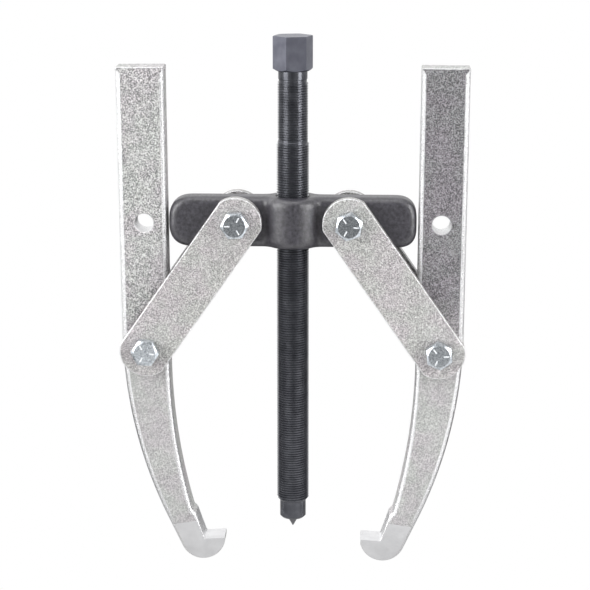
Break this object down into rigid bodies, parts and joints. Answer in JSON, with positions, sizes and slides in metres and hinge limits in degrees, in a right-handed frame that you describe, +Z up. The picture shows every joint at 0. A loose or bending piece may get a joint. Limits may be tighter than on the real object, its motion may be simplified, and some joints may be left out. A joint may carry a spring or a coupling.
{
  "type": "gear puller",
  "caption": "Adjustable jaw gear puller: a forcing screw through a forged yoke, with hooked forged jaws hung on bolted straps.",
  "frame": {"origin": "on the forcing screw's axis at half the yoke's height, midway between the two yoke bolts", "axes": "+Z up the forcing screw towards its hex head, +X towards the right jaw, -Y towards the bolt heads (the front), +Y towards the lock nuts"},
  "size_m": [0.222, 0.0516, 0.3448],
  "materials": {
    "black_forging": "forged steel under a thin satin black coating, softly lit, with a fine forging grain",
    "black_oxide": "turned steel with an oiled black oxide finish, semi-gloss",
    "hardened_steel": "turned and hardened bare steel, grey",
    "zinc_forging": "zinc-plated rough forging, mottled grey, with smooth milled hooks",
    "zinc_plate": "zinc-plated flat bar, mottled grey, with broken bright edges",
    "zinc_hardware": "blue-white zinc-plated bolt and nut steel, smooth",
    "nylon": "off-white nylon ring"
  },
  "bodies": {
    "yoke": {"yoke": "black_forging", "left_yoke_bolt": "zinc_hardware", "left_yoke_nut": "zinc_hardware", "left_yoke_nut_insert": "nylon", "right_yoke_bolt": "zinc_hardware", "right_yoke_nut": "zinc_hardware", "right_yoke_nut_insert": "nylon"},
    "screw_point": {"center_point": "hardened_steel"},
    "screw": {"forcing_screw": "black_oxide"},
    "left_straps": {"left_front_strap": "zinc_plate", "left_rear_strap": "zinc_plate", "left_jaw_bolt": "zinc_hardware", "left_jaw_nut": "zinc_hardware", "left_jaw_nut_insert": "nylon"},
    "right_straps": {"right_front_strap": "zinc_plate", "right_rear_strap": "zinc_plate", "right_jaw_bolt": "zinc_hardware", "right_jaw_nut": "zinc_hardware", "right_jaw_nut_insert": "nylon"},
    "left_hook_jaw": {"left_jaw": "zinc_forging"},
    "right_hook_jaw": {"right_jaw": "zinc_forging"}
  },
  "joints": [
    {"name": "screw_feed", "type": "slide", "parent": "yoke", "child": "screw_point", "axis": [0, 0, 1], "range_m": [-0.075, 0.15]},
    {"name": "screw_turn", "type": "hinge", "parent": "screw_point", "child": "screw", "pos_m": [0, 0, 0], "axis": [0, 0, 1], "range_deg": [-17007, 34015]},
    {"name": "left_strap_swing", "type": "hinge", "parent": "yoke", "child": "left_straps", "pos_m": [-0.036, 0, 0], "axis": [0, 1, 0], "range_deg": [-4, 34]},
    {"name": "right_strap_swing", "type": "hinge", "parent": "yoke", "child": "right_straps", "pos_m": [0.036, 0, 0], "axis": [0, -1, 0], "range_deg": [-4, 34]},
    {"name": "left_jaw_swing", "type": "hinge", "parent": "left_straps", "child": "left_hook_jaw", "pos_m": [-0.09398, 0, -0.08343], "axis": [0, -1, 0], "range_deg": [0, 8]},
    {"name": "right_jaw_swing", "type": "hinge", "parent": "right_straps", "child": "right_hook_jaw", "pos_m": [0.09398, 0, -0.08343], "axis": [0, 1, 0], "range_deg": [0, 8]}
  ],
  "couplings": [
    {"joint": "screw_feed", "follows": "screw_turn", "m_per_rad": 0.00025266}
  ]
}
